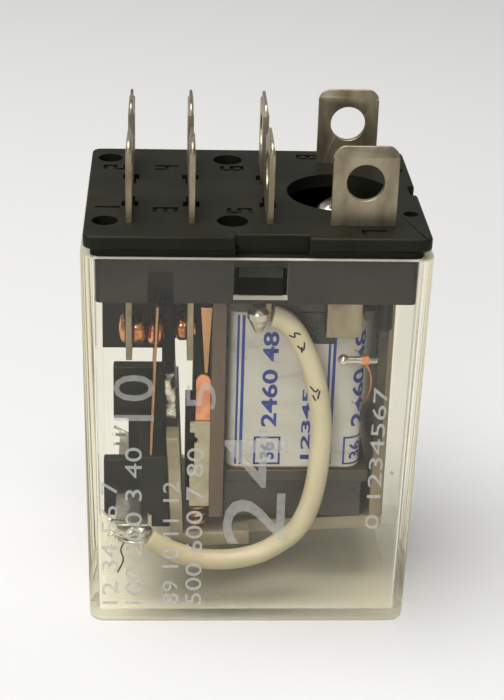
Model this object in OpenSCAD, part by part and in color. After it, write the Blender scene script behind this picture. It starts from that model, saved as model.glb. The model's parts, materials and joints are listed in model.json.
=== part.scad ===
// Eight-blade plug-in relay in a clear cover, two changeover poles, alternating-current coil.
// Millimetres. +Z is up and the blades point up, the way the relay stands on the closed end
// of its cover. The origin is the centre of that closed end. -Y is the wide front face,
// the contact columns are at -X and the coil is at +X.

/* [Body] */
// Width of the cover across the terminal columns
body_w = 28; // [27.8:0.1:28.4]
// Depth of the cover across the two terminal rows
body_d = 21.5; // [21.3:0.1:21.9]
// Height from the closed end of the cover to the seating face of the base
body_h = 36; // [35.8:0.1:36.2]
// Thickness of the clear cover wall
cover_wall = 1; // [0.8:0.1:1]
// Outside radius of the upright cover corners
cover_corner_r = 1.2; // [1:0.1:1.6]

/* [Terminals] */
// Height of the blades above the seating face
blade_len = 6.6; // [6:0.1:7.5]
// Width of every blade
blade_w = 5.2; // [4.8:0.1:5.2]
// Thickness of every blade
blade_t = 0.5; // [0.4:0.05:0.6]
// Diameter of the eyelet in every blade
eyelet_d = 3; // [2:0.1:3.2]
// Height of the eyelet centre above the seating face
eyelet_z = 3.6; // [3.2:0.1:3.8]
// Distance from the centre plane to the middle of each contact row
row_y = 5; // [4.9:0.1:5.1]

/* [Coil] */
// Distance of the coil axis from the middle of the body
coil_x = 3.7; // [3.6:0.05:3.75]
// Width of the wound coil, seen from the front
winding_w = 11.4; // [10.8:0.1:11.4]
// Depth of the wound coil
winding_d = 12.2; // [11:0.1:12.4]
// Radius of the iron core
core_r = 3.2; // [2.8:0.1:3.2]

/* [Armature] */
// Angle the armature hangs open at rest, which is also its travel
open_angle = 2.5; // [2:0.1:2.5]
// Thickness of the iron armature
armature_t = 1.3; // [1.1:0.1:1.4]
// Outside diameter of the insulated lead wires
lead_d = 1.8; // [1.6:0.1:2]

/* [Hidden] */
$fn = 64;
rim_z = body_h - 1.8;            // top rim of the cover
floor_t = 1.1;                   // closed end of the cover
plug_z = 31;                     // underside of the solid part of the base
skirt_z = 30.1;                  // lower edge of the base skirt
plug_gap = 0.15;                 // play between base plug and cover
plug_w = body_w - 2 * (cover_wall + plug_gap);
plug_d = body_d - 2 * (cover_wall + plug_gap);
flange_t = 1.1;                  // upper step of the base flange
inner_x = body_w / 2 - cover_wall;
inner_y = body_d / 2 - cover_wall;
window_x = [-1.9, 2.4];          // latch window in the front of the cover
window_z = [30.8, 33.6];
latch_x = [-1.5, 2];
notch_x = [-1.8, 4];             // gap in the flange above the latch
nc_x = -10.2;                    // blade columns, normally closed first
no_x = -5.2;
com_x = 1.05;
coil_blade_x = 8.45;             // the two coil blades are turned across the rows
coil_blade_y = 7.5;
blade_chamfer = 0.6;
strip_z = 23.9;                  // lower end of the fixed contact strips
strip_w = 4.4;
com_tail_z = 28.1;
coil_tail_z = 26.3;
contact_z = 25.9;                // height of the normally closed contacts
no_contact_z = 26.1;             // a little higher, where the moving contact arrives
contact_r = 1.25;
dome_h = 0.3;                    // crown of each contact face
rivet_r = 0.6;
spring_t = 0.2;
spring_w = 4;
spring_lean = 2.13;              // lean of the contact springs from upright
spring_foot_x = -8.7;            // left face of a contact spring at its foot
spring_foot_z = 9;
rivet_z = contact_z - 0.1;       // where the moving contact is riveted through its spring
// middle of a contact spring at the rivet
spring_x = spring_foot_x + (rivet_z - spring_foot_z) * tan(spring_lean)
    + spring_t / (2 * cos(spring_lean));
hole_x = 7.2;                    // large round opening over the riveted core
hole_r = 4.4;
yoke_t = 1.2;
yoke_x = 11.8;                   // outer face of the yoke leg
yoke_half_d = 5.5;
foot_z = [29, 30.2];             // yoke foot, under the base
pole_z = 8.15;                   // pole face of the core
stud_at = [7, 0.9];              // staked stud on the yoke foot, seen in the round opening
stud_top = 34.9;
hinge_z = 8.08;                  // hinge edge, top corner of the armature under the leg
flange_lo = [12.2, 13.3];        // lower bobbin flange
frame_x = [-2.1, 9.8];           // rectangular lower end of the bobbin
frame_half_d = 5.6;
flange_hi = [28, 29];            // upper bobbin flange
flange_half_d = 6.5;
winding_corner_r = 1.2;          // the coil is wound on a square collar
label_t = 0.1;
collar_r = core_r + 0.7;
limb_x = [-6.7, -5.6];           // upright limb of the armature
limb_top = 17.4;
limb_half_d = 7.1;
post_x = [-4.8, -3.45];          // post of the base against the barrier
holder_z = [9.4, 14.9];          // part of the carrier that grips both springs
holder_half_d = 7.3;
card_half_t = 0.6;               // walls in the centre plane, fixed and moving
bracket_z = [10.1, 18.2];
lead_y = -8.4;                   // plane of the front lead wire
solder_x = -9.7;
pin_z = 24.3;                    // winding pins of the bobbin
pin_y = -7.7;

// Front lead wire from the common blade round the coil to the foot of the contact spring
lead_path = [
    [1.4, lead_y, 28.5],
    [2.1, lead_y, 28.3],
    [2.9, lead_y, 27.6],
    [3.7, lead_y, 26.4],
    [4.7, lead_y, 24.1],
    [5.4, lead_y, 21.5],
    [5.8, lead_y, 18.7],
    [5.8, lead_y, 16],
    [5.6, lead_y, 13.4],
    [5.1, lead_y, 10.8],
    [4.2, lead_y, 8.7],
    [2.8, lead_y, 7.3],
    [0.9, lead_y, 6.1],
    [-1.6, lead_y, 5.5],
    [-4.3, lead_y, 5.6],
    [-6.4, lead_y, 6.3],
    [-8.5, lead_y, 7.6],
];

lead_last = len(lead_path) - 1;

// Copper end of the winding from the pin back to the coil
coil_lead_path = [
    [9.3, pin_y, 23.9],
    [9.7, pin_y, 23.2],
    [9.9, -7.3, 22],
    [9.85, -6.4, 20.6],
    [9.75, -5.2, 19.4],
    [9.62, -4, 18.7],
];

// Lit bars of the moulded numbers: top, upper right, lower right, bottom, lower left,
// upper left, middle
digit_bars = [
    [],
    [1, 2],
    [0, 1, 6, 4, 3],
    [0, 1, 6, 2, 3],
    [5, 6, 1, 2],
    [0, 5, 6, 2, 3],
    [0, 5, 4, 3, 2, 6],
    [0, 1, 2],
    [0, 1, 2, 3, 4, 5, 6],
];

// ---------- helpers ----------

// Box between two corners given as ranges along X, Y and Z
module block(xs, ys, zs) {
    translate([xs[0], ys[0], zs[0]])
        cube([xs[1] - xs[0], ys[1] - ys[0], zs[1] - zs[0]]);
}

// Upright slab with round corners, centred on Z, from z = 0 to h
module rounded_slab(w, d, h, r) {
    translate([r - w / 2, -d / 2, 0])
        cube([w - 2 * r, d, h]);
    translate([-w / 2, r - d / 2, 0])
        cube([w, d - 2 * r, h]);
    for (sx = [-1, 1], sy = [-1, 1])
        translate([sx * (w / 2 - r), sy * (d / 2 - r), 0])
            cylinder(r = r, h = h);
}

// The rear pole is the front pole seen in the centre plane
module rear() {
    mirror([0, 1, 0])
        children();
}

// Turns what is drawn with the armature closed to its open rest position
module at_rest() {
    translate([yoke_x, 0, hinge_z])
        rotate([0, -open_angle, 0])
            translate([-yoke_x, 0, -hinge_z])
                children();
}

// Rivet head on the +X side of x = 0 with a crowned face
module contact_head(r, t) {
    rotate([0, 90, 0])
        rotate_extrude()
            polygon([
                [0, 0],
                [r, 0],
                [r, t - dome_h],
                [0.72 * r, t - dome_h / 3],
                [0.3 * r, t],
                [0, t],
            ]);
}

function unit(v) = v / norm(v);
function spline(p0, p1, p2, p3, t) =
    0.5 * (2 * p1 + (p2 - p0) * t + (2 * p0 - 5 * p1 + 4 * p2 - p3) * t * t
    + (3 * p1 - p0 - 3 * p2 + p3) * t * t * t);
function at(path, i) = path[max(0, min(len(path) - 1, i))];
function smooth(path, n) = [
    for (i = [0 : len(path) - 2], k = [0 : n - 1])
        spline(at(path, i - 1), path[i], path[i + 1], at(path, i + 2), k / n),
    path[len(path) - 1],
];

// Round cord of radius r through the points of a path, which never runs along "up"
module cord(path, r, sides, up = [0, 1, 0]) {
    last = len(path) - 1;
    rings = [
        for (i = [0 : last])
            let (
                along = unit(at(path, i + 1) - at(path, i - 1)),
                side = unit(cross(along, up)),
                across = cross(side, along)
            )
            for (k = [0 : sides - 1])
                path[i] + r * (cos(360 * k / sides) * side + sin(360 * k / sides) * across),
    ];
    walls = [
        for (i = [0 : last - 1], k = [0 : sides - 1])
            let (a = i * sides, b = a + sides, n = (k + 1) % sides)
            [a + k, a + n, b + n, b + k],
    ];
    start_cap = [for (k = [sides - 1 : -1 : 0]) k];
    end_cap = [for (k = [0 : sides - 1]) last * sides + k];
    polyhedron(rings, concat(walls, [start_cap], [end_cap]), convexity = 6);
}

// Round seat for the end of a lead wire, from p towards q, both in one plane across Y
module lead_seat(p, q) {
    play = 0.03;
    way = unit(q - p);
    translate(p - 2 * play * way)
        rotate([0, atan2(way[0], way[2]), 0])
            cylinder(r = lead_d / 2 + play, h = 4);
}

// Moulded number made of straight bars, recessed from z = 0 down
module digit(n) {
    bar_l = 0.85;
    bar_w = 0.34;
    for (bar = digit_bars[n]) {
        flat = bar == 0 || bar == 3 || bar == 6;
        x = flat ? 0 : (bar == 1 || bar == 2 ? bar_l / 2 : -bar_l / 2);
        y = bar == 0 ? bar_l : bar == 3 ? -bar_l : bar == 6 ? 0
            : (bar == 1 || bar == 5 ? bar_l / 2 : -bar_l / 2);
        size = flat ? [bar_l + bar_w, bar_w, 0.4] : [bar_w, bar_l + bar_w, 0.4];
        translate([x, y, 0])
            cube(size, center = true);
    }
}

// ---------- terminals ----------

// Blade above the base: flat in X, centred on y = 0, with clipped corners and an eyelet
module blade_top() {
    top = body_h + blade_len;
    half = blade_w / 2;
    difference() {
        translate([blade_t / 2, 0, 0])
            rotate([0, -90, 0])
                linear_extrude(blade_t)
                    polygon([
                        [body_h - 2, -half],
                        [top - blade_chamfer, -half],
                        [top, blade_chamfer - half],
                        [top, half - blade_chamfer],
                        [top - blade_chamfer, half],
                        [body_h - 2, half],
                    ]);
        translate([0, 0, body_h + eyelet_z])
            rotate([0, 90, 0])
                cylinder(d = eyelet_d, h = 2 * blade_t, center = true);
    }
}

// Contact blade with its strip inside the relay, front row; hole_z is its contact's height
module contact_terminal(x, hole_z) {
    translate([x, -row_y, 0]) {
        blade_top();
        difference() {
            block([-blade_t / 2, blade_t / 2], [-strip_w / 2, strip_w / 2],
                [strip_z, body_h - 2]);
            translate([0, 0, hole_z])
                rotate([0, 90, 0])
                    cylinder(r = rivet_r, h = 2 * blade_t, center = true);
        }
    }
}

// Common blade, front row: its narrow tail ends in the solder joint of the lead wire
module common_terminal() {
    translate([com_x, -row_y, 0])
        blade_top();
    block([com_x - blade_t / 2, com_x + blade_t / 2], [-8.6, -row_y],
        [body_h - 3.5, body_h - 2]);
    block([com_x - blade_t / 2, com_x + blade_t / 2], [-8.6, -6.8],
        [com_tail_z, body_h - 3.5]);
}

// Coil blade, front: turned to face forward, with a narrow tail beside the bobbin
module coil_terminal() {
    translate([coil_blade_x, -coil_blade_y, 0])
        rotate([0, 0, 90])
            blade_top();
    block([5.9, 8.8], [-coil_blade_y - blade_t / 2, -coil_blade_y + blade_t / 2],
        [coil_tail_z, body_h - 2]);
}

module all_terminals() {
    for (side = [0, 1])
        mirror([0, side, 0]) {
            contact_terminal(nc_x, contact_z);
            contact_terminal(no_x, no_contact_z);
            common_terminal();
            coil_terminal();
        }
}

module terminal_nc_front() {
    color([0.72, 0.69, 0.62])
        contact_terminal(nc_x, contact_z);
}

module terminal_nc_rear() {
    color([0.72, 0.69, 0.62])
        rear()
            contact_terminal(nc_x, contact_z);
}

module terminal_no_front() {
    color([0.72, 0.69, 0.62])
        contact_terminal(no_x, no_contact_z);
}

module terminal_no_rear() {
    color([0.72, 0.69, 0.62])
        rear()
            contact_terminal(no_x, no_contact_z);
}

module terminal_com_front() {
    color([0.72, 0.69, 0.62])
        common_terminal();
}

module terminal_com_rear() {
    color([0.72, 0.69, 0.62])
        rear()
            common_terminal();
}

module terminal_coil_front() {
    color([0.72, 0.69, 0.62])
        coil_terminal();
}

module terminal_coil_rear() {
    color([0.72, 0.69, 0.62])
        rear()
            coil_terminal();
}

// ---------- housing ----------

module cover() {
    color([0.9, 0.93, 0.95, 0.35])
        difference() {
            rounded_slab(body_w, body_d, rim_z, cover_corner_r);
            translate([0, 0, floor_t])
                rounded_slab(2 * inner_x, 2 * inner_y, rim_z, cover_corner_r / 2);
            block(window_x, [-body_d, -inner_y + 0.5], window_z);
        }
}

// Recess for each blade slot: a short cross bar and a lead-in beyond the blade
module slot_recess(x) {
    depth = 0.7;
    block([x - 0.68, x + 0.68], [-row_y + 1.2, -row_y + 2.3], [body_h - depth, body_h + 1]);
    block([x - 0.4, x + 0.4], [-row_y + 1.2, -row_y + 3.5], [body_h - depth, body_h + 1]);
}

// Terminal numbers on the seating face, odd in front and even behind
module numbers() {
    places = [
        [1, -12, -4.5], [3, -7.3, -4.6], [5, -1.3, -4.6], [7, 9.2, -9.2],
        [2, -11.6, 5.6], [4, -7.2, 5.6], [6, -1.6, 5.6], [8, 5.2, 8.8],
    ];
    for (p = places)
        translate([p[1], p[2], body_h])
            rotate([0, 0, 90])
                digit(p[0]);
}

module base() {
    skirt_t = 0.7;
    boss_x = [[-1.9, 0], [10.6, 12]];
    color([0.07, 0.07, 0.075])
        difference() {
            union() {
                translate([0, 0, body_h - flange_t])
                    rounded_slab(body_w - 0.5, body_d - 0.3, flange_t, 0.8);
                translate([0, 0, rim_z])
                    rounded_slab(body_w - 1.6, body_d - 1, body_h - flange_t - rim_z, 0.8);
                translate([0, 0, plug_z])
                    rounded_slab(plug_w, plug_d, rim_z - plug_z, 0.5);
                // skirt below the plug, a wall all round
                difference() {
                    translate([0, 0, skirt_z])
                        rounded_slab(plug_w, plug_d, plug_z - skirt_z, 0.5);
                    translate([0, 0, skirt_z - 1])
                        rounded_slab(plug_w - 2 * skirt_t, plug_d - 2 * skirt_t,
                            plug_z - skirt_z + 1, 0.3);
                }
                // latch nose in the window of the cover
                translate([latch_x[0], 0, 0])
                    rotate([90, 0, 90])
                        linear_extrude(latch_x[1] - latch_x[0])
                            polygon([
                                [-plug_d / 2 + 0.5, 33.5],
                                [-plug_d / 2 - 0.3, 33.5],
                                [-body_d / 2 + 0.1, 32.7],
                                [-body_d / 2 + 0.1, 31.2],
                                [-plug_d / 2 - 0.5, 30.9],
                                [-plug_d / 2 + 0.5, 30.9],
                            ]);
                // wall between the two poles, joined to a post against the barrier
                block([-12.6, -7.4], [-card_half_t, card_half_t], [22, plug_z]);
                block([-7.5, post_x[0] + 0.6], [-card_half_t, card_half_t], [22.9, plug_z]);
                block(post_x, [-2.5, 2.5], [9.4, plug_z]);
                block([-5.4, post_x[0] + 0.1], [-2.5, 2.5], [9.4, 16.5]);
                // peg beside the coil
                translate([10.4, -8.9, 27.8])
                    cylinder(d = 1.4, h = plug_z - 27.8);
                // bosses the yoke foot is clamped against
                for (xs = boss_x)
                    block(xs, [-5, 5], [foot_z[1], plug_z]);
            }
            translate([hole_x, 0, plug_z - 2])
                cylinder(r = hole_r, h = body_h);
            // gap in the flange over the latch
            block(notch_x, [-body_d, -body_d / 2 + 1.1], [rim_z + 0.1, body_h + 1]);
            // side notch
            block([body_w / 2 - 0.9, body_w], [-0.6, 1.6], [rim_z + 0.1, body_h + 1]);
            // slot in the front skirt
            block([-8.65, -6.6], [-body_d, -plug_d / 2 + 1.2], [skirt_z - 1, 32.8]);
            all_terminals();
            for (x = [nc_x, no_x, com_x]) {
                slot_recess(x);
                mirror([0, 1, 0])
                    slot_recess(x);
            }
            for (p = [[-12.1, -7.1, 2.1], [-12.1, 8, 2.1], [-1.95, -6.95, 2.5],
                    [-1.9, 7.8, 2.5], [12.6, -5, 1.2], [12.6, 5.6, 1.2]])
                translate([p[0], p[1], body_h - 1.2])
                    cylinder(d = p[2], h = 2);
            numbers();
        }
}

// ---------- fixed contacts ----------

// Crowned contact on the inner side of a strip with its riveted tail on the other side
module fixed_contact(face_t, tail_r, tail_t) {
    translate([blade_t / 2, 0, 0])
        contact_head(contact_r, face_t);
    rotate([0, 90, 0])
        cylinder(r = rivet_r, h = 2 * blade_t, center = true);
    translate([-blade_t / 2, 0, 0])
        mirror([1, 0, 0])
            contact_head(tail_r, tail_t);
}

module nc_contact() {
    translate([nc_x, -row_y, contact_z])
        fixed_contact(1.17, contact_r, 0.6);
}

module no_contact() {
    translate([no_x, -row_y, no_contact_z])
        mirror([1, 0, 0])
            fixed_contact(1, 0.95, 0.5);
}

module contact_nc_front() {
    color([0.8, 0.45, 0.25])
        nc_contact();
}

module contact_nc_rear() {
    color([0.8, 0.45, 0.25])
        rear()
            nc_contact();
}

module contact_no_front() {
    color([0.8, 0.45, 0.25])
        no_contact();
}

module contact_no_rear() {
    color([0.8, 0.45, 0.25])
        rear()
            no_contact();
}

// ---------- magnet ----------

module yoke() {
    color([0.42, 0.38, 0.34])
        difference() {
            union() {
                block([yoke_x - yoke_t, yoke_x], [-yoke_half_d, yoke_half_d],
                    [hinge_z + 0.04, foot_z[1]]);
                block([-1.9, yoke_x], [-yoke_half_d, yoke_half_d], foot_z);
            }
            translate([coil_x, 0, foot_z[0] - 1])
                cylinder(r = 2, h = 4);
        }
}

module core() {
    color([0.6, 0.6, 0.6])
        difference() {
            translate([coil_x, 0, 0])
                rotate_extrude()
                    polygon([
                        [0, pole_z],
                        [4.2, pole_z],
                        [4.2, 9.5],
                        [core_r, 9.5],
                        [core_r, foot_z[0]],
                        [2, foot_z[0]],
                        [2, foot_z[1]],
                        [2.4, foot_z[1]],
                        [2.4, foot_z[1] + 0.35],
                        [1.9, foot_z[1] + 0.7],
                        [0, foot_z[1] + 0.7],
                    ]);
            ring_shape();
        }
}

// Stud staked over a wide washer-like head, standing on the yoke foot in the round opening
module yoke_stud() {
    color([0.6, 0.6, 0.58])
        translate(stud_at)
            rotate_extrude()
                polygon([
                    [0, foot_z[1]],
                    [0.8, foot_z[1]],
                    [0.8, stud_top - 1],
                    [1.9, stud_top - 1],
                    [1.9, stud_top - 0.4],
                    [1.4, stud_top - 0.1],
                    [0, stud_top],
                ]);
}

// Copper ring round part of the pole face
module ring_shape() {
    translate([coil_x - 1, 0, pole_z - 0.01])
        difference() {
            cylinder(r = 2.7, h = 0.8);
            translate([0, 0, -1])
                cylinder(r = 2, h = 3);
        }
}

module shading_ring() {
    color([0.75, 0.4, 0.22])
        ring_shape();
}

// Bobbin corner at the front: an arm from the upper flange and the post beside the pin
module pin_post() {
    block([8.9, 10.4], [-8.2, -2.5], flange_hi);
    block([10.2, 11], [-8.2, -7.2], [17, flange_hi[1]]);
}

module bobbin() {
    color([0.12, 0.12, 0.12])
        difference() {
            union() {
                block(frame_x, [-frame_half_d, frame_half_d], [pole_z + 0.15, flange_lo[0]]);
                for (zs = [flange_lo, flange_hi])
                    block([frame_x[0], frame_x[1] + 0.4], [-flange_half_d, flange_half_d], zs);
                translate([coil_x, 0, flange_lo[1]])
                    cylinder(r = collar_r, h = flange_hi[0] - flange_lo[1]);
                pin_post();
                rear()
                    pin_post();
            }
            translate([coil_x, 0, 0])
                cylinder(r = core_r, h = body_h);
            // recess for the pole face
            translate([coil_x, 0, 0])
                cylinder(r = 4.3, h = 9.6);
            coil_pins_shape();
        }
}

// Two level pins, front and rear, each pressed into its post
module coil_pins_shape() {
    for (y = [pin_y, -pin_y])
        translate([7.1, y, pin_z])
            rotate([0, 90, 0])
                cylinder(r = 0.32, h = 3.4);
}

module coil_pins() {
    color([0.75, 0.75, 0.74])
        coil_pins_shape();
}

module winding() {
    color([0.55, 0.28, 0.14])
        translate([coil_x, 0, flange_lo[1]])
            difference() {
                rounded_slab(winding_w, winding_d, flange_hi[0] - flange_lo[1],
                    winding_corner_r);
                translate([0, 0, -1])
                    cylinder(r = collar_r, h = body_h);
            }
}

// Printed paper band round the winding
module coil_label() {
    color([0.82, 0.82, 0.82])
        translate([coil_x, 0, flange_lo[1] + 0.2])
            difference() {
                rounded_slab(winding_w + 2 * label_t, winding_d + 2 * label_t,
                    flange_hi[0] - flange_lo[1] - 0.4, winding_corner_r + label_t);
                translate([0, 0, -1])
                    rounded_slab(winding_w, winding_d, body_h, winding_corner_r);
            }
}

// Patch of black tape on the front of the band, just under the upper flange
module insulating_tape() {
    front = -winding_d / 2 - label_t;
    color([0.06, 0.06, 0.06])
        block([3.2, 6.8], [front - 0.12, front], [25.1, flange_hi[0] - 0.1]);
}

// Turns of fine copper wire on the pin, then the end that runs back to the winding
module pin_turns_and_lead() {
    translate([8.9, pin_y, pin_z])
        rotate([0, 90, 0])
            difference() {
                cylinder(r = 0.46, h = 0.6);
                translate([0, 0, -1])
                    cylinder(r = 0.32, h = 3);
            }
    cord(smooth(coil_lead_path, 2), 0.08, 8);
}

module coil_lead_front() {
    color([0.8, 0.42, 0.2])
        pin_turns_and_lead();
}

module coil_lead_rear() {
    color([0.8, 0.42, 0.2])
        rear()
            pin_turns_and_lead();
}

// ---------- parts beside the coil ----------

// Upright insulating plate between the contacts and the coil
module coil_barrier() {
    color([0.45, 0.41, 0.37])
        block([-3.4, -2.2], [-7.2, 7.2], [9, 29.4]);
}

// Bracket on the barrier that backs the return spring
module spring_bracket() {
    color([0.8, 0.77, 0.66])
        difference() {
            union() {
                block([-4.7, -3.4], [-7.2, -6.6], [bracket_z[0], bracket_z[1]]);
                block([-5.1, -3.4], [-7.2, -6.6], [bracket_z[0], 13.5]);
                block([-5.1, -4.7], [-7.2, -6.6], [17.2, 18]);
                block([-5.1, -3.4], [-7.2, -5.2], [bracket_z[0], bracket_z[0] + 0.5]);
            }
            translate([-4.8, -8, 16.4])
                rotate([-90, 0, 0])
                    cylinder(d = 0.8, h = 3);
        }
}

// Copper strap with a round upper end, lying on the front edge of the barrier plate
module copper_strap() {
    color([0.85, 0.45, 0.3])
        union() {
            block([-4.65, -3.4], [-7, -6.7], [18.25, 21.9]);
            translate([-4.03, -6.7, 21.9])
                rotate([90, 0, 0])
                    cylinder(r = 0.6, h = 0.3);
        }
}

// Tan tongue above the strap, narrowing downwards
module tapered_tongue() {
    color([0.68, 0.48, 0.32])
        translate([0, -6.7, 0])
            rotate([90, 0, 0])
                linear_extrude(0.35)
                    polygon([
                        [-4.35, 28.6],
                        [-3.4, 28.6],
                        [-3.7, 22.7],
                        [-3.95, 22.7],
                    ]);
}

module common_solder() {
    color([0.85, 0.84, 0.8])
        difference() {
            translate([com_x - 0.75, lead_y, 0])
                rotate_extrude()
                    polygon([
                        [0, 26.9],
                        [0.3, 27.1],
                        [0.95, 28.4],
                        [0.95, 28.9],
                        [0.5, 29.4],
                        [0, 29.5],
                    ]);
            common_terminal();
        }
}

module com_solder_front() {
    common_solder();
}

module com_solder_rear() {
    rear()
        common_solder();
}

// ---------- moving assembly ----------

module armature() {
    color([0.7, 0.66, 0.56])
        at_rest()
            union() {
                block([limb_x[0], 0.1], [-limb_half_d, limb_half_d],
                    [hinge_z - armature_t, hinge_z]);
                block([0, yoke_x], [-5, 5], [hinge_z - armature_t, hinge_z]);
                limb();
            }
}

// Upright limb of the armature, which carries the moulded carrier, with two upper prongs
module limb() {
    block(limb_x, [-limb_half_d, limb_half_d], [6.3, limb_top]);
    for (ys = [[-4.9, -2.1], [2.1, 4.9]])
        block([limb_x[0], limb_x[1] - 0.2], ys, [limb_top - 0.1, 22.4]);
}

// Contact spring of the front pole with its level soldering foot
module spring_shape() {
    translate([spring_foot_x, -row_y - spring_w / 2, spring_foot_z])
        rotate([0, spring_lean, 0])
            cube([spring_t, spring_w, 19.6]);
    block([-11.4, spring_foot_x + 0.1], [-row_y - 3.6, -row_y + spring_w / 2],
        [spring_foot_z - 0.1, spring_foot_z + 0.1]);
}

module contact_spring() {
    difference() {
        spring_shape();
        translate([spring_x, -row_y, rivet_z])
            rotate([0, 90 + spring_lean, 0])
                cylinder(r = rivet_r, h = 2, center = true);
    }
}

module contact_spring_front() {
    color([0.72, 0.5, 0.3])
        contact_spring();
}

module contact_spring_rear() {
    color([0.72, 0.5, 0.3])
        rear()
            contact_spring();
}

// Double-faced contact riveted through the spring
module moving_contact() {
    translate([spring_x, -row_y, rivet_z])
        rotate([0, spring_lean, 0])
            union() {
                translate([spring_t / 2, 0, 0])
                    contact_head(contact_r + 0.05, 0.62);
                rotate([0, 90, 0])
                    cylinder(r = rivet_r, h = 2 * spring_t, center = true);
                translate([-spring_t / 2, 0, 0])
                    mirror([1, 0, 0])
                        contact_head(contact_r + 0.05, 0.66);
            }
}

module moving_contact_front() {
    color([0.8, 0.45, 0.25])
        moving_contact();
}

module moving_contact_rear() {
    color([0.8, 0.45, 0.25])
        rear()
            moving_contact();
}

// Moulded carrier: a holder across both springs, and a card in the centre plane that steps out
// to the left below and above, with two cheeks that move on both sides of the fixed wall
module carrier() {
    card = [-card_half_t, card_half_t];
    color([0.07, 0.07, 0.075])
        difference() {
            union() {
                block([-9.3, -6.3], [-holder_half_d, holder_half_d], holder_z);
                block([-8.3, -6.3], [-holder_half_d, holder_half_d], [8.1, holder_z[0] + 0.1]);
                block([-12.6, -6.7], card, [5.5, 11.1]);
                block([-10.4, -6.7], card, [11, 15.3]);
                block([-11.7, -6.6], card, [15.2, 20.2]);
                for (cheek = [[-2, -0.8], [0.8, 2]])
                    block([-7.5, -6.4], cheek, [holder_z[1] - 0.1, 26.6]);
            }
            at_rest()
                limb();
            at_rest()
                block([limb_x[0], 0], [-8, 8], [6.3, limb_top + 0.2]);
            spring_shape();
            rear()
                spring_shape();
        }
}

module spring_solder() {
    color([0.85, 0.84, 0.8])
        difference() {
            translate([solder_x, -7.7, 0])
                rotate_extrude()
                    polygon([
                        [0, 7.3],
                        [0.7, 7.5],
                        [1.2, 8.2],
                        [1.35, spring_foot_z - 0.1],
                        [0, spring_foot_z - 0.1],
                    ]);
            lead_seat(lead_path[lead_last], lead_path[lead_last - 1]);
        }
}

module spring_solder_front() {
    spring_solder();
}

module spring_solder_rear() {
    rear()
        spring_solder();
}

module lead_wire_front() {
    color([0.86, 0.83, 0.72])
        cord(smooth(lead_path, 2), lead_d / 2, 12);
}

module lead_wire_rear() {
    color([0.86, 0.83, 0.72])
        rear()
            cord(smooth(lead_path, 2), lead_d / 2, 12);
}

// Short coil spring between the bracket and the armature
module return_spring() {
    turns = 3;
    steps = 12;
    coil_r = 0.65;
    wire_r = 0.14;
    z_low = 7.66;
    z_high = bracket_z[0] - 0.16;
    path = [
        for (i = [0 : turns * steps])
            [-4.3 + coil_r * cos(360 * i / steps), -6.2 + coil_r * sin(360 * i / steps),
                z_low + (z_high - z_low) * i / (turns * steps)],
    ];
    color([0.45, 0.35, 0.25])
        cord(path, wire_r, 8, [0, 0, 1]);
}

// ---------- assembly ----------

cover();
base();
terminal_nc_front();
terminal_nc_rear();
terminal_no_front();
terminal_no_rear();
terminal_com_front();
terminal_com_rear();
terminal_coil_front();
terminal_coil_rear();
contact_nc_front();
contact_nc_rear();
contact_no_front();
contact_no_rear();
yoke();
yoke_stud();
core();
shading_ring();
bobbin();
winding();
coil_label();
insulating_tape();
coil_pins();
coil_lead_front();
coil_lead_rear();
coil_barrier();
spring_bracket();
copper_strap();
tapered_tongue();
com_solder_front();
com_solder_rear();
armature();
carrier();
contact_spring_front();
contact_spring_rear();
moving_contact_front();
moving_contact_rear();
spring_solder_front();
spring_solder_rear();
lead_wire_front();
lead_wire_rear();
return_spring();
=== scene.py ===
# %% [markdown]
# # A plug-in relay in a clear cover
# This lesson dresses a small power relay for a studio picture. The exact metal and plastic
# pieces come from a CAD frame. Here they get worn edges and finishes, and what CAD makes too
# plainly is modelled by hand: the moulded cover, the soft lead wires, the solder and the print.
# Every position is in metres, in the frame of the CAD part.

# %% Load the frame
import bpy
import bmesh
import json
import math
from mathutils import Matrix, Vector, noise


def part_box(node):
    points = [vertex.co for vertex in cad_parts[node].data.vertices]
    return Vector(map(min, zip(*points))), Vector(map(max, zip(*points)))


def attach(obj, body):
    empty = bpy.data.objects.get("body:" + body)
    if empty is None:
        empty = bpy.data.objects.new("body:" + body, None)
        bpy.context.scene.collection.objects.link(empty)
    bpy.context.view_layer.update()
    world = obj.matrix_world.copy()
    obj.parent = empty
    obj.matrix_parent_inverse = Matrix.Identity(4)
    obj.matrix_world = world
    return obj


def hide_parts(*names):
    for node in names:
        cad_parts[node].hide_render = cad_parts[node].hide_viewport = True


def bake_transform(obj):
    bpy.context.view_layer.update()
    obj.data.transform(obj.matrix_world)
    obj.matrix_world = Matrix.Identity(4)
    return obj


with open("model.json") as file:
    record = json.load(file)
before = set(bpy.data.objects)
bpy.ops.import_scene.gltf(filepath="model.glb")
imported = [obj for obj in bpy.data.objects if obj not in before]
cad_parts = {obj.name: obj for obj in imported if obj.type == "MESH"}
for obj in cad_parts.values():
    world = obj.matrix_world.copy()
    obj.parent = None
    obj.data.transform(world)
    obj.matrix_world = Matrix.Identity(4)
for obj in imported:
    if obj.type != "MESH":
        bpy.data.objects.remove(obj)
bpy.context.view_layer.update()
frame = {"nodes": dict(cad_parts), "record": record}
nodes = frame["nodes"]
MM = 0.001
RELIEF = 0.00003  # depth of the fine bumps in every finish, metres
body_of = {node: body for body, group in frame["record"]["behaviour"]["bodies"].items()
           for node in group}

# %% [markdown]
# ## The camera
# A portrait lens stands a little left of the middle and looks down by about 25 degrees.
# It is placed first, because every later choice of detail depends on what it sees.

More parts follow.
